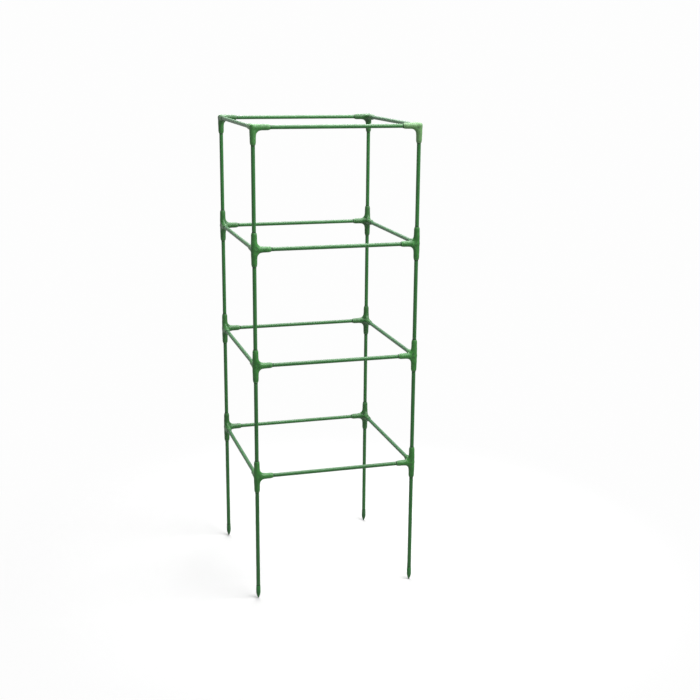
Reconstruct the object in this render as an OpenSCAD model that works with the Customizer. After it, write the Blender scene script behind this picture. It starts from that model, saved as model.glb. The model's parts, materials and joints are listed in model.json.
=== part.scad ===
// Square tomato cage: coated poles pushed into moulded connectors, in rings on four corner posts.
// +Z is up, the front is towards -Y, and the origin is on the ground in the middle of the four points.

/* [Cage] */
// Distance between the centres of neighbouring posts
side = 350; // [220:5:600]
// Height from one ring of rails to the next
tier_h = 245; // [150:5:400]
// Height of the lowest ring above the points
leg_h = 282; // [160:2:450]
// Number of rings of rails
rings = 4; // [2:1:4]

/* [Poles] */
// Outside diameter of a coated pole
pole_d = 8.4; // [6:0.2:12]
// Thickness of the plastic coat
coat_t = 0.5; // [0.3:0.05:0.8]
// Wall of the steel tube under the coat
tube_t = 0.5; // [0.3:0.05:0.8]

/* [Connectors] */
// Reach of an arm, from the middle of its connector to its mouth
arm_len = 35; // [32:1:60]
// Wall of a sleeve behind its tapered nose
sleeve_t = 1.85; // [1.6:0.05:3]
// How much the upright sleeves swell from the nose to the middle
post_draft = 0.4; // [0.3:0.05:0.8]
// How much the level sleeves swell from the nose to the middle
rail_draft = 0.15; // [0.05:0.05:0.25]
// Length of the tapered nose at the mouth
nose_len = 5.5; // [1:0.5:6]
// Wall left at the mouth, where the nose ends
lip_t = 0.65; // [0.6:0.05:1.2]
// Chamfer that leads a pole into its socket
lead_in = 0.3; // [0.1:0.1:0.5]
// Plastic between the sockets at the middle of a connector
hub_t = 4; // [2:0.5:8]
// Inside radius of the curve from one arm to the next
fillet_r = 14; // [4:0.5:16]
// How far that curve starts under the skin of the sleeves
fillet_in = 0.6; // [0.4:0.1:1.4]
// How far the closed top of a top corner stands above its level sleeves
cap_proud = 0.5; // [0.2:0.1:2]
// Chamfer around that closed top
cap_edge = 0.8; // [0.2:0.1:1.5]

/* [Tips] */
// Length of a tip
tip_len = 29; // [27:1:45]
// Length of its rounded point
point_len = 14; // [8:1:16]
// Radius of the blunt end of the point
point_r = 1.2; // [0.4:0.1:2]
// Plastic between the point and the end of the leg
tip_floor = 1; // [0.5:0.5:3]
// Wall around the leg
tip_t = 0.65; // [0.6:0.05:2]
// Length of the tapered shoulder above that wall
shoulder_len = 9; // [2:0.5:10]
// Wall left at the top of the shoulder
shoulder_t = 0.3; // [0.2:0.05:0.6]

/* [Fits] */
// Gap all round a pole in its socket
socket_gap = 0.1; // [0.02:0.01:0.1]
// Gap all round a leg in its tip
tip_gap = 0.05; // [0.02:0.01:0.1]
// Gap all round a steel tube in its coat
coat_gap = 0.05; // [0.02:0.01:0.1]

/* [Hidden] */
$fn = 64;
// How far a cut runs past the face that it opens
through = 1;
// Steps in the curve of a point
POINT_STEPS = 7;

pole_r = pole_d / 2;
coat_bore_r = pole_r - coat_t;
tube_r = coat_bore_r - coat_gap;

socket_r = pole_r + socket_gap;
mouth_r = socket_r + sleeve_t;
post_hub_r = mouth_r + post_draft;
rail_hub_r = mouth_r + rail_draft;
cap_reach = rail_hub_r + cap_proud;
fillet_tube_r = mouth_r - fillet_in;
fillet_bend = fillet_r + fillet_tube_r;

// From the middle of a connector to the floor of a socket, where the pole's end sits
seat = socket_r + hub_t;
// Height of the floor inside a tip
tip_seat = point_len + tip_floor;
leg_hole_r = pole_r + tip_gap;
tip_r = leg_hole_r + tip_t;

leg_len = leg_h - seat - tip_seat;
post_len = tier_h - 2 * seat;
rail_len = side - 2 * seat;

// Turns that bring +Z onto each direction of an arm
UP = [0, 0, 0];
DOWN = [180, 0, 0];
ALONG_X = [0, 90, 0];
ALONG_Y = [-90, 0, 0];

// Turns that bring a curve between +X and +Y onto each pair of arms
LEVEL_PAIR = [0, 0, 0];
LOWER_PAIRS = [[-90, 0, 0], [0, 90, 0]];
UPPER_PAIRS = [[90, 0, 0], [0, -90, 0]];

POLE_GREEN = [0.18, 0.40, 0.19];
CONNECTOR_GREEN = [0.25, 0.47, 0.24];
STEEL = [0.62, 0.64, 0.66];

// Corners and sides in steps of a quarter turn. Side k runs from corner k to the next one.
CORNERS = ["front_left", "front_right", "back_right", "back_left"];
SIDES = ["front", "right", "back", "left"];
TURNS = [0 : 3];
RINGS = [1 : rings];
LOWER_RINGS = [1 : rings - 1];

function ring_z(n) = leg_h + (n - 1) * tier_h;

// Radius of a point at a share of its length, swelling from its blunt end to the full tip
function point_swell(share) = point_r + (tip_r - point_r) * sin(90 * share);

// Puts a piece that stands on the axis of the first corner onto corner k
module at_corner(k, z) {
    rotate(90 * k) translate([-side / 2, -side / 2, z]) children();
}

// Lays a pole that stands on the origin into the sockets of side k
module along_side(k, z) {
    rotate(90 * k) translate([seat - side / 2, -side / 2, z]) rotate(ALONG_X) children();
}

// Plastic coat of a pole, standing on the origin
module coat(length) {
    color(POLE_GREEN) difference() {
        cylinder(r = pole_r, h = length);
        translate([0, 0, -through]) cylinder(r = coat_bore_r, h = length + 2 * through);
    }
}

// Steel tube of a pole, standing on the origin
module tube(length) {
    color(STEEL) difference() {
        cylinder(r = tube_r, h = length);
        translate([0, 0, -through]) cylinder(r = tube_r - tube_t, h = length + 2 * through);
    }
}

// Outside of one arm of a connector, from its middle up to its mouth
module sleeve(hub_r) {
    rotate_extrude() polygon([
        [0, 0],
        [hub_r, 0],
        [mouth_r, arm_len - nose_len],
        [socket_r + lip_t, arm_len],
        [0, arm_len]
    ]);
}

// Closed top of a post, from the middle of its connector upwards
module cap() {
    rotate_extrude() polygon([
        [0, 0],
        [post_hub_r, 0],
        [post_hub_r, cap_reach - cap_edge],
        [post_hub_r - cap_edge, cap_reach],
        [0, cap_reach]
    ]);
}

// Blind hole of one arm with its lead-in, from the floor up to the mouth
module socket() {
    rotate_extrude() polygon([
        [0, seat],
        [socket_r, seat],
        [socket_r, arm_len - lead_in],
        [socket_r + lead_in, arm_len],
        [socket_r + lead_in, arm_len + through],
        [0, arm_len + through]
    ]);
}

// Round curve that fills the corner between the arms along +X and +Y
module fillet() {
    translate([fillet_bend, fillet_bend, 0])
        rotate(180)
        rotate_extrude(angle = 90)
        translate([fillet_bend, 0])
        circle(r = fillet_tube_r);
}

// Connector of a lower ring: arms up, down and along both sides
module four_way() {
    color(CONNECTOR_GREEN) difference() {
        union() {
            rotate(UP) sleeve(post_hub_r);
            rotate(DOWN) sleeve(post_hub_r);
            rotate(ALONG_X) sleeve(rail_hub_r);
            rotate(ALONG_Y) sleeve(rail_hub_r);
            for (pair = concat([LEVEL_PAIR], LOWER_PAIRS, UPPER_PAIRS)) rotate(pair) fillet();
        }
        for (arm = [UP, DOWN, ALONG_X, ALONG_Y]) rotate(arm) socket();
    }
}

// Connector of the top ring: arms down and along both sides, closed above
module three_way() {
    color(CONNECTOR_GREEN) difference() {
        union() {
            cap();
            rotate(DOWN) sleeve(post_hub_r);
            rotate(ALONG_X) sleeve(rail_hub_r);
            rotate(ALONG_Y) sleeve(rail_hub_r);
            for (pair = concat([LEVEL_PAIR], LOWER_PAIRS)) rotate(pair) fillet();
        }
        for (arm = [DOWN, ALONG_X, ALONG_Y]) rotate(arm) socket();
    }
}

// Pointed tip with its blind hole for the leg, standing on its point
module point_cap() {
    point = [
        for (step = [0 : POINT_STEPS])
            let (share = step / POINT_STEPS) [point_swell(share), point_len * share]
    ];
    wall = [
        [tip_r, tip_len - shoulder_len],
        [leg_hole_r + shoulder_t, tip_len],
        [leg_hole_r, tip_len],
        [leg_hole_r, tip_seat],
        [0, tip_seat]
    ];
    color(CONNECTOR_GREEN) rotate_extrude() polygon(concat([[0, 0]], point, wall));
}

for (k = TURNS) {
    at_corner(k, 0) point_cap();
    at_corner(k, tip_seat) coat(leg_len);
    at_corner(k, tip_seat) tube(leg_len);  // leg_tubes
    at_corner(k, ring_z(rings)) three_way();
}

for (n = LOWER_RINGS, k = TURNS) {
    corner = str(n, "_", CORNERS[k]);
    at_corner(k, ring_z(n)) four_way();
    at_corner(k, ring_z(n) + seat) coat(post_len);
    at_corner(k, ring_z(n) + seat) tube(post_len);
}

for (n = RINGS, k = TURNS) {
    along_side(k, ring_z(n)) coat(rail_len);
    along_side(k, ring_z(n)) tube(rail_len);
}
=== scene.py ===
from itertools import combinations
import json
import math

import bmesh
import bpy
import numpy as np
from mathutils import Matrix, Vector


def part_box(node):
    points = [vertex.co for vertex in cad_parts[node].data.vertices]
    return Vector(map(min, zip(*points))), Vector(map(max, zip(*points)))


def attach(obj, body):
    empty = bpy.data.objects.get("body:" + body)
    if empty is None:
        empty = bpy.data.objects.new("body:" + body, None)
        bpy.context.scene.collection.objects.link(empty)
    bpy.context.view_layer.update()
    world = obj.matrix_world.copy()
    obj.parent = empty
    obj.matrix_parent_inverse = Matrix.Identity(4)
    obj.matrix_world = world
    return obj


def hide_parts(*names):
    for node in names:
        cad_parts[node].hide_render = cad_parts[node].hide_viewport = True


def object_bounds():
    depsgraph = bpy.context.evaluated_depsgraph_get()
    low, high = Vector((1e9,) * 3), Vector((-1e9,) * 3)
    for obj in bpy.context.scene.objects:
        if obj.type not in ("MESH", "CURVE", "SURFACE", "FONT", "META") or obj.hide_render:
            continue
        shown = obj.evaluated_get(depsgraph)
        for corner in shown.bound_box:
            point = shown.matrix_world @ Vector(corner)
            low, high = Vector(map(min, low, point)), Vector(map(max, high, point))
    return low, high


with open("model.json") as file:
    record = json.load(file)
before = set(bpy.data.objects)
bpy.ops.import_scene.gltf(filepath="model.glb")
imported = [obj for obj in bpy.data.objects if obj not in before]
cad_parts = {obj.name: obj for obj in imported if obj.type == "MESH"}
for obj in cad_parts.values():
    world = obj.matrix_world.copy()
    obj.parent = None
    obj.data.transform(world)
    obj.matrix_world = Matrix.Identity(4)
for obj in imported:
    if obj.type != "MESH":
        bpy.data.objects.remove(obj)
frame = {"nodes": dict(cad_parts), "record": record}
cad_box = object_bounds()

MM = 0.001
CORNERS = ["front_left", "front_right", "back_right", "back_left"]
LOWER_RINGS = [1, 2, 3]

# Camera, fitted to the corners of the cage in the photo: place in metres and turns in radians
EYE = Vector((-0.646, -2.439, 1.162))
YAW = 0.2902
PITCH = -0.2540
ROLL = 0.0089
SENSOR_MM = 36.0
LENS_MM = 58.95

# White surroundings that fade to a dim ceiling, between two sines of the angle above level
WHITE = 0.985
CEILING = 0.16
CEILING_FROM = 0.26
CEILING_TO = 0.50

# Floor, in metres, with a lit middle that fades into the white surroundings
FLOOR_R = 8.0
FLOOR_SIDES = 96
FLOOR_ALBEDO = 0.34
FADE_FROM = 0.28
FADE_TO = 0.95

# Light panels, in metres and watts
PANELS = [
    {"name": "front_panel", "at": Vector((0.95, -0.90, 2.65)), "size": 2.0, "power": 212.0},
    {"name": "back_panel", "at": Vector((0.20, 1.20, 2.60)), "size": 1.6, "power": 130.0},
]
PANEL_AIM = Vector((0.0, 0.0, 0.45))

# Linear colours
COAT_DARK = (0.003, 0.054, 0.005, 1.0)
COAT_LIGHT = (0.007, 0.076, 0.009, 1.0)
COAT_SCUFF = (0.060, 0.130, 0.065, 1.0)
MOULD_DARK = (0.006, 0.069, 0.006, 1.0)
MOULD_LIGHT = (0.014, 0.098, 0.012, 1.0)
TIP_DARK = (0.004, 0.062, 0.008, 1.0)
TIP_LIGHT = (0.010, 0.086, 0.014, 1.0)
MOULD_WORN = (0.080, 0.180, 0.080, 1.0)
# Pale colour of a painted highlight
MOULD_HIGHLIGHT = (0.100, 0.160, 0.075, 1.0)
# Dark colour of grime, also used for painted shade at the sleeve mouths, in the nooks and over the back
# corners
GRIME_AND_SHADE = (0.004, 0.020, 0.005, 1.0)
# Bluish grey of a painted reflection
REFLECTION_TINT = (0.070, 0.085, 0.110, 1.0)
STEEL_DARK = (0.42, 0.43, 0.44, 1.0)
STEEL_LIGHT = (0.62, 0.63, 0.64, 1.0)

# Mouldings with a painted highlight, with the share of the pale colour in each
PAINTED_HIGHLIGHTS = {"top_corner_front_right": 0.45, "top_corner_front_left": 0.08}

# Share of the dark colour over all the mouldings of a corner: a slight darkening on all, and painted shade
# on the back corners
CORNER_SHADE_SHARES = {"front_left": 0.08, "front_right": 0.08, "back_right": 0.45, "back_left": 0.36}

# Share of a painted bluish reflection over the rails of a side
REFLECTION_SHARES = {"left": 0.08, "right": 0.12}

# Gloss of the plastics
COAT_SHINE = 0.34
MOULD_SHINE = 0.32


def node_box(name):
    """Lowest and highest corners of a CAD node, in millimetres."""
    low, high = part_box(name)
    return low / MM, high / MM


# Sizes read off the frame, in millimetres
post_low, post_high = node_box("post_1_front_left")
hub_low, hub_high = node_box("connector_1_front_left")
tip_low, tip_high = node_box("tip_front_left")
leg_low = node_box("leg_front_left")[0]
AXIS = (post_low + post_high) / 2
POLE_R = (post_high.x - post_low.x) / 2
HUB_R = AXIS.x - hub_low.x
ARM = hub_high.x - AXIS.x
CAP = node_box("top_corner_front_left")[1].z - node_box("rail_4_front")[0].z - POLE_R
SOCKET_FLOOR = post_low.z - (hub_low.z + hub_high.z) / 2
TIP_R = (tip_high.x - tip_low.x) / 2
TIP_LEN = tip_high.z - tip_low.z
TIP_FLOOR = leg_low.z - tip_low.z

# Sizes of the poles that the boxes don't give, in millimetres
COAT_T = 0.5
COAT_EDGE = 0.25
# Length of the band of grime and painted shadow at each sleeve mouth
GRIME_AND_SHADE_LEN = 4.0

# Sizes of the connectors that the boxes don't give, in millimetres
SOCKET_GAP = 0.1
LEAD_IN = 0.3
LIP_T = 0.65
NOSE_LEN = 5.5
POST_SWELL = 0.4
RAIL_SWELL = 0.15
WEB_INSIDE_R = 14.0
WEB_IN = 0.6
WEB_THINNING = 2.0
SOFTEN = 2.4
CAP_SINK = 1.4
CAP_FALL = 2.0
CAP_ROUND = 2.5
LIP_WEAR = 1.6

# Sizes of the tips that the boxes don't give, in millimetres
POINT_LEN = 14.0
POINT_R = 1.2
SHOULDER_LEN = 9.0
SHOULDER_T = 0.3
SHOULDER_EDGE = 0.1
TIP_GAP = 0.05
POINT_WEAR = 7.0

# Blunt end of a tip: shares of its radius, and heights in millimetres
BLUNT_END = [(0.0, 0.0), (0.6, 0.05), (0.95, 0.35)]

# Powers and shares that bend the outlines
COAT_BEND = 0.3
NOSE_POWER = 1.5
NOSE_LIMIT = 1.3
WEB_POWER = 4
BACK_BULGE = 1.35

# Mesh making, in millimetres: spare length past a mouth, cuts past it, cells, steps and joined points
SPARE = 1.0
CUT_PAST = 4.0
VOXEL = 0.9
SLOPE_STEP = 0.02
WELD = 0.02
SAME_SPOT = 0.0001

# Rounds in which points settle on a skin, with the share of the way in each and the least slope squared
SETTLE_ROUNDS = 4
SETTLE_SHARE = 0.9
LEAST_SLOPE = 0.25

# Bends of a skin, per millimetre, at which the grime and painted shade of the nooks start and at which they
# are full, and the step to measure it
NOOK_FROM = 0.05
NOOK_TO = -0.09
NOOK_STEP = 1.5

# Counts of sides and steps, and the angles in degrees from which edges stay sharp
POLE_SIDES = 40
POINT_STEPS = 14
WEB_STEPS = 8
BLANK_SIDES = 32
CUTTER_SIDES = 64
TURNED_SHARP = 50
MOULDED_SHARP = 45

SOCKET_R = POLE_R + SOCKET_GAP
MOUTH_R = HUB_R - POST_SWELL
LIP_R = SOCKET_R + LIP_T
WEB_R = MOUTH_R - WEB_IN
WEB_BEND = WEB_INSIDE_R + WEB_R
# How much of a pole's end a sleeve or a tip hides
SLEEVED = ARM - SOCKET_FLOOR
TIPPED = TIP_LEN - TIP_FLOOR


def body_of(node):
    """The body that a CAD node moves with."""
    for body, members in frame["record"]["behaviour"]["bodies"].items():
        if node in members:
            return body
    raise KeyError(node)


def show(name, data):
    """A new object in the scene with a mesh, a light or a camera."""
    made = bpy.data.objects.new(name, data)
    bpy.context.scene.collection.objects.link(made)
    return made


def add_piece(name, mesh, node, material):
    """Shows a mesh, in the frame of the cage, in the place of a CAD node."""
    mesh.materials.clear()
    mesh.materials.append(material)
    piece = show(name, mesh)
    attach(piece, body_of(node))
    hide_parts(node)


def points_of(mesh):
    """The mesh's points, in millimetres."""
    spots = np.empty(len(mesh.vertices) * 3)
    mesh.vertices.foreach_get("co", spots)
    return spots.reshape(-1, 3) / MM


def mark(mesh, name, values):
    """Keeps a number for each point of the mesh, or one for them all, for its material."""
    numbers = np.full(len(mesh.vertices), values, dtype=np.float32)
    mesh.attributes.new(name, "FLOAT", "POINT").data.foreach_set("value", numbers)


def mark_spots(mesh):
    """Keeps the place of each point in the piece's own frame, in millimetres, for its material."""
    spots = points_of(mesh).astype(np.float32)
    mesh.attributes.new("spot", "FLOAT_VECTOR", "POINT").data.foreach_set("vector", spots.ravel())


def corner_place(k, z):
    """From a corner's own frame, arms along +X and +Y, to corner k at a height in metres."""
    spot = Matrix.Translation((AXIS.x * MM, AXIS.y * MM, z))
    return Matrix.Rotation(k * math.pi / 2, 4, "Z") @ spot


def lathe(profile, sides):
    """Surface of revolution about Z from the (r, z) of a profile, in millimetres.

    Its UV map gives millimetres round the surface and along the profile.
    """
    bm = bmesh.new()
    uv = bm.loops.layers.uv.new("along")
    turns = [Matrix.Rotation(2 * math.pi * k / sides, 3, "Z") for k in range(sides)]
    rows = []
    for r, z in profile:
        if r == 0:
            rows.append([bm.verts.new((0, 0, z * MM))] * sides)
        else:
            rows.append([bm.verts.new(turn @ Vector((r * MM, 0, z * MM))) for turn in turns])
    run = [0.0]
    for (r0, z0), (r1, z1) in zip(profile, profile[1:]):
        run.append(run[-1] + math.hypot(r1 - r0, z1 - z0))
    step = 2 * math.pi * max(r for r, z in profile) / sides
    for i in range(len(profile) - 1):
        for k in range(sides):
            n = (k + 1) % sides
            corners = {}
            for row, column, place in ((i, k, k), (i, n, k + 1), (i + 1, n, k + 1), (i + 1, k, k)):
                corners.setdefault(rows[row][column], (step * place, run[row]))
            face = bm.faces.new(corners)
            face.smooth = True
            for loop in face.loops:
                loop[uv].uv = corners[loop.vert]
    bmesh.ops.remove_doubles(bm, verts=bm.verts, dist=SAME_SPOT * MM)
    bmesh.ops.recalc_face_normals(bm, faces=bm.faces)
    mesh = bpy.data.meshes.new("lathe")
    bm.to_mesh(mesh)
    bm.free()
    mesh.set_sharp_from_angle(angle=math.radians(TURNED_SHARP))
    return mesh


def coat_mesh(length, hidden):
    """Plastic coat of a pole that stands on the origin, with so much of its lower end hidden."""
    bore = POLE_R - COAT_T
    bend = COAT_BEND * COAT_EDGE
    mouths = np.array([hidden, length - SLEEVED])
    end = [
        (POLE_R, COAT_EDGE),
        (POLE_R - bend, bend),
        (POLE_R - COAT_EDGE, 0.0),
        (bore, 0.0),
    ]
    rings = [mouth + way * GRIME_AND_SHADE_LEN for mouth in mouths for way in (-1, 0, 1)]
    wall = [(POLE_R, z) for z in rings]
    far_end = [(r, length - z) for r, z in end]
    mesh = lathe(end[:1] + wall + far_end + end[::-1], POLE_SIDES)
    heights = points_of(mesh)[:, 2]
    # The band at each sleeve mouth that gets grime and painted shadow
    mark(mesh, "mouth_grime_and_shade", np.abs(heights[:, None] - mouths).min(1) < GRIME_AND_SHADE_LEN / 2)
    return mesh


def tip_mesh():
    """Pointed tip with its hole for the leg, standing on its point."""
    hole = POLE_R + TIP_GAP
    blunt = [(share * POINT_R, z) for share, z in BLUNT_END]
    point = []
    for i in range(1, POINT_STEPS + 1):
        share = i / POINT_STEPS
        point.append((POINT_R + (TIP_R - POINT_R) * math.sin(math.pi / 2 * share), POINT_LEN * share))
    wall = [
        (TIP_R, TIP_LEN - SHOULDER_LEN),
        (hole + SHOULDER_T, TIP_LEN - SHOULDER_EDGE),
        (hole + SHOULDER_T - SHOULDER_EDGE, TIP_LEN),
        (hole, TIP_LEN),
        (hole, TIP_FLOOR),
        (0.0, TIP_FLOOR),
    ]
    mesh = lathe(blunt + point + wall, POLE_SIDES)
    mark(mesh, "wear", np.clip(1 - points_of(mesh)[:, 2] / POINT_WEAR, 0, 1))
    mark_spots(mesh)
    return mesh


def smooth_min(a, b, soften):
    """The smaller of two distances, with a soft change from one to the other."""
    blend = np.clip(soften - np.abs(a - b), 0, None) / soften
    return np.minimum(a, b) - blend * blend * soften / 4


def smooth_max(a, b, soften):
    """The larger of two distances, with a soft change from one to the other."""
    return -smooth_min(-a, -b, soften)


def sleeve_gap(along, across, swell):
    """Distance of points from the skin of a sleeve, by their place along and across its axis."""
    nose = np.clip((along - (ARM - NOSE_LEN)) / NOSE_LEN, 0, NOSE_LIMIT)
    share = np.clip(along / (ARM - NOSE_LEN), 0, 1)
    radius = MOUTH_R + swell * (1 - share) - (MOUTH_R - LIP_R) * nose**NOSE_POWER
    round_end = np.hypot(across, BACK_BULGE * np.minimum(along, 0))
    return np.maximum(round_end - radius, along - ARM - SPARE)


def web_gap(a, b, c):
    """Distance of points from the curved web between the arms along a and b, thinner at its ends."""
    bent = np.hypot(np.minimum(a - WEB_BEND, 0), np.minimum(b - WEB_BEND, 0)) - WEB_BEND
    reach = np.maximum(a, b)
    radius = WEB_R - WEB_THINNING * np.clip(reach / WEB_BEND, 0, 1) ** WEB_POWER
    return np.maximum(np.hypot(bent, c) - radius, reach - WEB_BEND)


def connector_gap(p, closed_top):
    """Distance of points from the skin of a connector, in its own frame."""
    x, y, z = p.T
    if closed_top:
        across = np.hypot(x, y)
        upright = sleeve_gap(np.maximum(-z, 0), across, POST_SWELL)
        dome = CAP - CAP_SINK - CAP_FALL * (across / HUB_R) ** 2
        upright = smooth_max(upright, z - dome, CAP_ROUND)
        ways = [-1]
    else:
        upright = sleeve_gap(np.abs(z), np.hypot(x, y), POST_SWELL)
        ways = [-1, 1]
    along_x = sleeve_gap(x, np.hypot(y, z), RAIL_SWELL)
    along_y = sleeve_gap(y, np.hypot(x, z), RAIL_SWELL)
    webs = web_gap(x, y, z)
    for way in ways:
        upright_webs = smooth_min(web_gap(x, way * z, y), web_gap(y, way * z, x), SOFTEN)
        webs = smooth_min(webs, upright_webs, SOFTEN)
    arms = smooth_min(upright, smooth_min(along_x, along_y, SOFTEN), SOFTEN)
    return smooth_min(arms, webs, SOFTEN)


def nooks(p, closed_top):
    """How hollow the skin of a connector is at points: 0 where it bulges, up to 1 in its inner corners."""
    middle = connector_gap(p, closed_top)
    bend = np.zeros(len(p))
    for way in NOOK_STEP * np.eye(3):
        bend += connector_gap(p + way, closed_top) - 2 * middle + connector_gap(p - way, closed_top)
    return np.clip((NOOK_FROM - bend / NOOK_STEP**2) / (NOOK_FROM - NOOK_TO), 0, 1)


def settle(p, closed_top):
    """Moves points onto the skin of a connector along its slope."""
    for _ in range(SETTLE_ROUNDS):
        gap = connector_gap(p, closed_top)
        slope = np.empty_like(p)
        for axis, way in enumerate(SLOPE_STEP * np.eye(3)):
            rise = connector_gap(p + way, closed_top) - connector_gap(p - way, closed_top)
            slope[:, axis] = rise / (2 * SLOPE_STEP)
        steep = np.maximum((slope * slope).sum(1), LEAST_SLOPE)
        p = p - slope * (SETTLE_SHARE * gap / steep)[:, None]
    return p


def take_mesh(obj):
    """The object's mesh with its modifiers. The object is deleted."""
    depsgraph = bpy.context.evaluated_depsgraph_get()
    mesh = bpy.data.meshes.new_from_object(obj.evaluated_get(depsgraph))
    old = obj.data
    bpy.data.objects.remove(obj)
    bpy.data.meshes.remove(old)
    return mesh


def arm_turns(closed_top):
    """Turns from +Z onto each arm of a connector."""
    turns = [
        Matrix.Rotation(math.pi, 4, "X"),
        Matrix.Rotation(math.pi / 2, 4, "Y"),
        Matrix.Rotation(-math.pi / 2, 4, "X"),
    ]
    if not closed_top:
        turns.append(Matrix.Identity(4))
    return turns


def web_spots(closed_top):
    """Places along the middle of each web of a connector, between arms at right angles."""
    arms = [turn @ Vector((0, 0, 1)) for turn in arm_turns(closed_top)]
    spots = []
    for a, b in combinations(arms, 2):
        if round(a.dot(b)) == 0:
            for step in range(1, WEB_STEPS):
                angle = math.pi / 2 * step / WEB_STEPS
                spots.append(WEB_BEND * MM * (a + b - math.cos(angle) * a - math.sin(angle) * b))
    return spots


def blank_mesh(closed_top):
    """Rough even mesh round the arms and webs of a connector, for settling onto its skin."""
    bm = bmesh.new()
    reach = (ARM + SPARE) * MM
    for turn in arm_turns(closed_top):
        bmesh.ops.create_cone(
            bm,
            cap_ends=True,
            segments=BLANK_SIDES,
            radius1=HUB_R * MM,
            radius2=LIP_R * MM,
            depth=reach,
            matrix=turn @ Matrix.Translation((0, 0, reach / 2)),
        )
    balls = [(Vector(), HUB_R)] + [(spot, WEB_R) for spot in web_spots(closed_top)]
    for spot, radius in balls:
        bmesh.ops.create_uvsphere(
            bm,
            u_segments=BLANK_SIDES,
            v_segments=BLANK_SIDES // 2,
            radius=radius * MM,
            matrix=Matrix.Translation(spot),
        )
    rough = bpy.data.meshes.new("blank")
    bm.to_mesh(rough)
    bm.free()
    blank = show("blank", rough)
    remesh = blank.modifiers.new("voxels", "REMESH")
    remesh.mode = "VOXEL"
    remesh.voxel_size = VOXEL * MM
    return take_mesh(blank)


def socket_cutter():
    """What is cut out of an arm along +Z: its socket, and all past its mouth."""
    profile = [
        (0.0, SOCKET_FLOOR),
        (SOCKET_R, SOCKET_FLOOR),
        (SOCKET_R, ARM - LEAD_IN),
        (SOCKET_R + LEAD_IN, ARM),
        (HUB_R + CUT_PAST, ARM),
        (HUB_R + CUT_PAST, ARM + CUT_PAST),
        (0.0, ARM + CUT_PAST),
    ]
    return lathe(profile, CUTTER_SIDES)


def weld(mesh):
    """Joins the points of a mesh that a cut left almost in one place."""
    bm = bmesh.new()
    bm.from_mesh(mesh)
    bmesh.ops.remove_doubles(bm, verts=bm.verts, dist=WELD * MM)
    bmesh.ops.dissolve_degenerate(bm, edges=bm.edges, dist=WELD * MM)
    bm.to_mesh(mesh)
    bm.free()


def cut_sockets(skin, closed_top):
    """The skin of a connector with the sockets of its arms cut out. The skin is deleted."""
    moulding = show("moulding", skin)
    cutter = socket_cutter()
    tools = []
    for turn in arm_turns(closed_top):
        tool = show("cutter", cutter)
        tool.matrix_world = turn
        tools.append(tool)
        cut = moulding.modifiers.new("socket", "BOOLEAN")
        cut.operation = "DIFFERENCE"
        cut.solver = "EXACT"
        cut.object = tool
    bpy.context.view_layer.update()
    mesh = take_mesh(moulding)
    for tool in tools:
        bpy.data.objects.remove(tool)
    bpy.data.meshes.remove(cutter)
    weld(mesh)
    return mesh


def connector_mesh(closed_top):
    """Moulded connector in its own frame: a settled skin with its sockets cut out."""
    skin = blank_mesh(closed_top)
    settled = settle(points_of(skin), closed_top)
    skin.vertices.foreach_set("co", (settled * MM).ravel())
    mesh = cut_sockets(skin, closed_top)
    mesh.polygons.foreach_set("use_smooth", np.ones(len(mesh.polygons), bool))
    mesh.set_sharp_from_angle(angle=math.radians(MOULDED_SHARP))
    spots = points_of(mesh)
    reach = np.abs(spots).max(1)
    mark(mesh, "wear", np.clip(1 - (ARM - reach) / LIP_WEAR, 0, 1))
    # How hollow the skin is, which darkens the inner corners with grime and painted shade
    mark(mesh, "nook", nooks(spots, closed_top))
    mark_spots(mesh)
    return mesh


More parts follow.
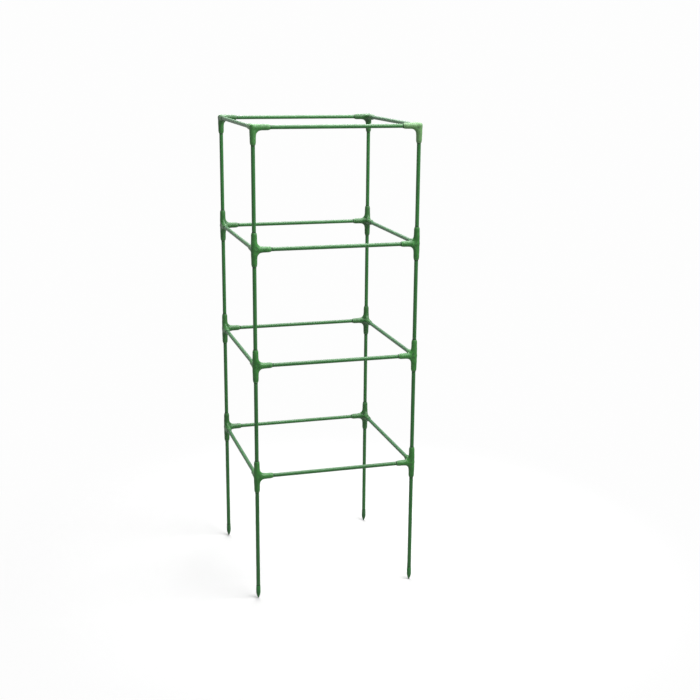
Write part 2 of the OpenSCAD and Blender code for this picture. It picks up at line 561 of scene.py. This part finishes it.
class Shader:
    """A material, with short ways to add and link its nodes."""

    def __init__(self, name):
        self.material = bpy.data.materials.new(name)
        self.material.use_nodes = True
        self.tree = self.material.node_tree
        self.skin = self.tree.nodes["Principled BSDF"]
        self.out = self.tree.nodes["Material Output"]

    def node(self, kind, **values):
        """A new node with values for its inputs or settings. An output given as a value is linked."""
        made = self.tree.nodes.new(kind)
        for name, value in values.items():
            if name in made.inputs:
                self.feed(made.inputs[name], value)
            else:
                setattr(made, name, value)
        return made

    def feed(self, socket, value):
        """Links an output to a socket, or sets the socket to a value."""
        if isinstance(value, bpy.types.NodeSocket):
            self.link(value, socket)
        else:
            socket.default_value = value

    def link(self, source, target):
        self.tree.links.new(source, target)

    def place(self):
        """Places in the frame of the piece, in metres."""
        return self.node("ShaderNodeTexCoord").outputs["Object"]

    def attribute(self, name, output="Fac"):
        """What was marked on the points of the mesh under a name."""
        return self.node("ShaderNodeAttribute", attribute_name=name).outputs[output]

    def streak_map(self, across, along):
        """Coordinates that stretch a pattern along a turned piece: its marks per millimetre each way."""
        uv = self.node("ShaderNodeUVMap", uv_map="along").outputs["UV"]
        return self.node("ShaderNodeMapping", Vector=uv, Scale=(across, along, 1.0)).outputs["Vector"]

    def noise(self, where, scale, detail=3.0):
        """Cloudy noise with about so many marks to each unit of its coordinates."""
        return self.node("ShaderNodeTexNoise", Vector=where, Scale=scale, Detail=detail).outputs["Fac"]

    def ramp(self, value, low, high, low_at, high_at):
        """A change from one colour to another as a value goes from low_at to high_at."""
        made = self.node("ShaderNodeValToRGB", Fac=value)
        first, last = made.color_ramp.elements
        first.position, first.color = low_at, low
        last.position, last.color = high_at, high
        return made.outputs["Color"]

    def level(self, value, low, high, low_at=0.3, high_at=0.7):
        """A value taken from one range to another, and held at its ends."""
        made = self.node("ShaderNodeMapRange", Value=value)
        made.inputs["From Min"].default_value = low_at
        made.inputs["From Max"].default_value = high_at
        made.inputs["To Min"].default_value = low
        made.inputs["To Max"].default_value = high
        return made.outputs["Result"]

    def math(self, operation, *values):
        made = self.node("ShaderNodeMath", operation=operation)
        for socket, value in zip(made.inputs, values):
            self.feed(socket, value)
        return made.outputs["Value"]

    def sum(self, *parts):
        """The sum of values that are each given with a weight."""
        total = 0.0
        for value, weight in parts:
            total = self.math("ADD", total, self.math("MULTIPLY", value, weight))
        return total

    def tint(self, share, colour, other):
        """A colour with a share of another, which is the same all over."""
        made = self.node("ShaderNodeMix", data_type="RGBA")
        # The node has sockets of the same names for other kinds of values, so these go by number
        factor, first, second = made.inputs[0], made.inputs[6], made.inputs[7]
        self.link(share, factor)
        self.link(colour, first)
        second.default_value = other
        return made.outputs[2]

    def bump(self, *heights):
        """Adds relief to the skin from pairs of a height and its depth in millimetres."""
        normal = None
        for height, depth in heights:
            made = self.node("ShaderNodeBump", Height=height, Distance=depth * MM)
            if normal:
                self.link(normal, made.inputs["Normal"])
            normal = made.outputs["Normal"]
        self.link(normal, self.skin.inputs["Normal"])


def grey(level):
    return (level, level, level, 1.0)


def coat_plastic():
    """Extruded coat: tone that drifts along a pole, die lines, scuffs, a painted bluish reflection on the
    side rails, and grime with painted shadow at the sleeve mouths.
    """
    made = Shader("pole_coat")
    where = made.place()
    drift = made.noise(where, scale=3.0, detail=1.0)
    mottle = made.noise(where, scale=22.0)
    lines = made.noise(made.streak_map(across=1.1, along=0.012), scale=1.0, detail=4.0)
    tone = made.sum((drift, 0.35), (mottle, 0.35), (lines, 0.3))
    colour = made.ramp(tone, COAT_DARK, COAT_LIGHT, low_at=0.38, high_at=0.62)
    streaks = made.noise(made.streak_map(across=0.7, along=0.09), scale=1.0, detail=5.0)
    scuffs = made.level(streaks, low=0.0, high=0.5, low_at=0.62, high_at=0.74)
    colour = made.tint(scuffs, colour, COAT_SCUFF)
    # Painted bluish reflection on the side rails
    colour = made.tint(made.attribute("painted_reflection"), colour, REFLECTION_TINT)
    patchy = made.level(made.noise(where, scale=400.0), low=0.75, high=1.0)
    # Grime and painted shadow in a band at each sleeve mouth
    near = made.level(made.attribute("mouth_grime_and_shade"), low=0.0, high=1.0, low_at=0.2, high_at=0.6)
    mouth_grime_and_shade = made.math("MULTIPLY", near, patchy)
    colour = made.tint(mouth_grime_and_shade, colour, GRIME_AND_SHADE)
    made.link(colour, made.skin.inputs["Base Color"])
    satin = made.level(made.noise(where, scale=130.0), low=0.44, high=0.56)
    rough = made.sum((satin, 1.0), (scuffs, 0.25), (mouth_grime_and_shade, 0.35))
    made.link(rough, made.skin.inputs["Roughness"])
    waves = made.noise(where, scale=55.0, detail=2.0)
    grain = made.noise(where, scale=2400.0, detail=2.0)
    made.bump((waves, 0.10), (lines, 0.05), (grain, 0.008))
    made.skin.inputs["Specular IOR Level"].default_value = COAT_SHINE
    return made.material


def moulded_plastic(name, dark, light):
    """Injection-moulded plastic: cloudy tone, grain, a parting line, worn edges, a painted highlight and
    painted shade on some pieces, and grime with painted shade in its nooks.
    """
    made = Shader(name)
    where = made.place()
    drift = made.noise(where, scale=6.0, detail=1.0)
    mottle = made.noise(where, scale=70.0)
    tone = made.math("ADD", drift, mottle)
    colour = made.ramp(tone, dark, light, low_at=0.8, high_at=1.0)
    # Painted highlight on the top corners that the lamps catch most
    colour = made.tint(made.attribute("painted_highlight"), colour, MOULD_HIGHLIGHT)
    # Painted shade over the mouldings, heaviest on the back corners
    colour = made.tint(made.attribute("corner_shade"), colour, GRIME_AND_SHADE)
    # Grime and painted shade in the inner corners, in patches
    nook_patches = made.level(made.noise(where, scale=300.0), low=0.55, high=0.90)
    colour = made.tint(made.math("MULTIPLY", made.attribute("nook"), nook_patches), colour, GRIME_AND_SHADE)
    patchy = made.level(made.noise(where, scale=650.0), low=0.1, high=0.8, low_at=0.35, high_at=0.65)
    wear = made.math("MULTIPLY", made.attribute("wear"), patchy)
    colour = made.tint(wear, colour, MOULD_WORN)
    made.link(colour, made.skin.inputs["Base Color"])
    satin = made.level(made.noise(where, scale=180.0), low=0.46, high=0.60)
    made.link(made.sum((satin, 1.0), (wear, 0.15)), made.skin.inputs["Roughness"])
    height = made.node("ShaderNodeSeparateXYZ", Vector=made.attribute("spot", "Vector")).outputs["Z"]
    parting = made.level(made.math("ABSOLUTE", height), low=1.0, high=0.0, low_at=0.05, high_at=0.30)
    clouds = made.noise(where, scale=160.0, detail=2.0)
    grain = made.noise(where, scale=1800.0, detail=2.0)
    made.bump((clouds, 0.07), (parting, 0.10), (grain, 0.015))
    made.skin.inputs["Specular IOR Level"].default_value = MOULD_SHINE
    return made.material


def galvanised_steel():
    """Zinc-coated tube: spangled cells with uneven shine, and fine dents."""
    made = Shader("steel_tube")
    where = made.place()
    cells = made.node("ShaderNodeTexVoronoi", Vector=where, Scale=420.0)
    spangle = made.node("ShaderNodeSeparateColor", Color=cells.outputs["Color"]).outputs["Red"]
    colour = made.ramp(spangle, STEEL_DARK, STEEL_LIGHT, low_at=0.0, high_at=1.0)
    made.link(colour, made.skin.inputs["Base Color"])
    shine = made.level(spangle, low=0.30, high=0.48, low_at=0.0, high_at=1.0)
    made.link(shine, made.skin.inputs["Roughness"])
    made.bump((made.noise(where, scale=900.0), 0.02))
    made.skin.inputs["Metallic"].default_value = 1.0
    return made.material


def paper_floor():
    """White paper that the panels light near the cage, and that glows evenly further out."""
    made = Shader("floor")
    reach = made.node("ShaderNodeVectorMath", operation="LENGTH")
    made.link(made.place(), reach.inputs[0])
    fade = made.node("ShaderNodeMapRange", interpolation_type="SMOOTHSTEP", Value=reach.outputs["Value"])
    fade.inputs["From Min"].default_value = FADE_FROM
    fade.inputs["From Max"].default_value = FADE_TO
    paper = made.node("ShaderNodeBsdfDiffuse", Color=grey(FLOOR_ALBEDO))
    glow = made.node("ShaderNodeEmission", Color=grey(WHITE))
    mix = made.node("ShaderNodeMixShader", Fac=fade.outputs["Result"])
    made.link(paper.outputs["BSDF"], mix.inputs[1])
    made.link(glow.outputs["Emission"], mix.inputs[2])
    made.link(mix.outputs["Shader"], made.out.inputs["Surface"])
    return made.material


def lay_floor():
    """A wide round floor under the points of the cage."""
    turn = [2 * math.pi * k / FLOOR_SIDES for k in range(FLOOR_SIDES)]
    rim = [(FLOOR_R * math.cos(a), FLOOR_R * math.sin(a), 0) for a in turn]
    mesh = bpy.data.meshes.new("floor")
    mesh.from_pydata(rim, [], [range(FLOOR_SIDES)])
    mesh.materials.append(paper_floor())
    floor = show("floor", mesh)
    floor.location.z = cad_box[0].z


def light_scene():
    """White all round up to a dim ceiling, with soft panels hung above."""
    world = bpy.data.worlds.new("studio")
    bpy.context.scene.world = world
    world.use_nodes = True
    nodes, links = world.node_tree.nodes, world.node_tree.links
    split = nodes.new("ShaderNodeSeparateXYZ")
    links.new(nodes.new("ShaderNodeTexCoord").outputs["Generated"], split.inputs["Vector"])
    rise = nodes.new("ShaderNodeMapRange")
    rise.interpolation_type = "SMOOTHSTEP"
    rise.inputs["From Min"].default_value = CEILING_FROM
    rise.inputs["From Max"].default_value = CEILING_TO
    rise.inputs["To Min"].default_value = WHITE
    rise.inputs["To Max"].default_value = CEILING
    links.new(split.outputs["Z"], rise.inputs["Value"])
    links.new(rise.outputs["Result"], nodes["Background"].inputs["Color"])
    for panel in PANELS:
        light = bpy.data.lights.new(panel["name"], "AREA")
        light.shape = "SQUARE"
        light.size = panel["size"]
        light.energy = panel["power"]
        aim = (PANEL_AIM - panel["at"]).to_track_quat("-Z", "Y")
        lamp = show(panel["name"], light)
        lamp.matrix_world = Matrix.Translation(panel["at"]) @ aim.to_matrix().to_4x4()


def set_camera():
    """The camera that took the photo, as far as the corners of the cage tell."""
    flat = math.cos(PITCH)
    ahead = Vector((math.sin(YAW) * flat, math.cos(YAW) * flat, math.sin(PITCH)))
    right = Vector((math.cos(YAW), -math.sin(YAW), 0))
    up = right.cross(ahead)
    turn = Matrix((right, up, -ahead)).transposed() @ Matrix.Rotation(ROLL, 3, "Z")
    lens = bpy.data.cameras.new("camera")
    lens.sensor_width = SENSOR_MM
    lens.lens = LENS_MM
    camera = show("camera", lens)
    camera.matrix_world = Matrix.Translation(EYE) @ turn.to_4x4()
    bpy.context.scene.camera = camera
    bpy.context.scene.view_settings.view_transform = "Standard"


def pole_turn(size):
    """Turn from +Z onto the longest way of a box."""
    along_x = Matrix.Rotation(math.pi / 2, 4, "Y")
    longest = max(range(3), key=lambda way: size[way])
    return [along_x, Matrix.Rotation(math.pi / 2, 4, "Z") @ along_x, Matrix.Identity(4)][longest]


def dress_poles(material):
    """A coat in the place of each leg, post and rail."""
    for node in frame["nodes"]:
        kind, *_, last = node.split("_")
        if kind not in ("leg", "post", "rail") or "_tubes" in node:
            continue
        low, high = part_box(node)
        length = max(high - low)
        mesh = coat_mesh(length / MM, hidden=TIPPED if kind == "leg" else SLEEVED)
        mark(mesh, "painted_reflection", REFLECTION_SHARES.get(last, 0.0) if kind == "rail" else 0.0)
        stand = Matrix.Translation((0, 0, -length / 2))
        mesh.transform(Matrix.Translation((low + high) / 2) @ pole_turn(high - low) @ stand)
        add_piece(f"{node}.coat", mesh, node, material)


def dress_corners():
    """A moulded piece in the place of each connector and tip."""
    plastic = moulded_plastic("connector_plastic", MOULD_DARK, MOULD_LIGHT)
    tip_plastic = moulded_plastic("tip_plastic", TIP_DARK, TIP_LIGHT)
    four_way = connector_mesh(closed_top=False)
    three_way = connector_mesh(closed_top=True)
    tip = tip_mesh()
    for k, corner in enumerate(CORNERS):
        top = f"top_corner_{corner}"
        foot = f"tip_{corner}"
        places = [
            (top, three_way, plastic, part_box(top)[1].z - CAP * MM),
            (foot, tip, tip_plastic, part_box(foot)[0].z),
        ]
        for n in LOWER_RINGS:
            node = f"connector_{n}_{corner}"
            low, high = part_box(node)
            places.append((node, four_way, plastic, (low.z + high.z) / 2))
        for node, mould, material, z in places:
            mesh = mould.copy()
            mesh.transform(corner_place(k, z))
            mark(mesh, "painted_highlight", PAINTED_HIGHLIGHTS.get(node, 0.0))
            mark(mesh, "corner_shade", CORNER_SHADE_SHARES[corner])
            add_piece(f"{node}.moulding", mesh, node, material)
    for mould in (four_way, three_way, tip):
        bpy.data.meshes.remove(mould)


def dress_tubes(material):
    """The finish of the steel tubes, which keep their CAD solids."""
    for name, node in frame["nodes"].items():
        if "_tubes" in name:
            node.data.materials.clear()
            node.data.materials.append(material)


dress_poles(coat_plastic())
dress_corners()
dress_tubes(galvanised_steel())
lay_floor()
light_scene()
set_camera()
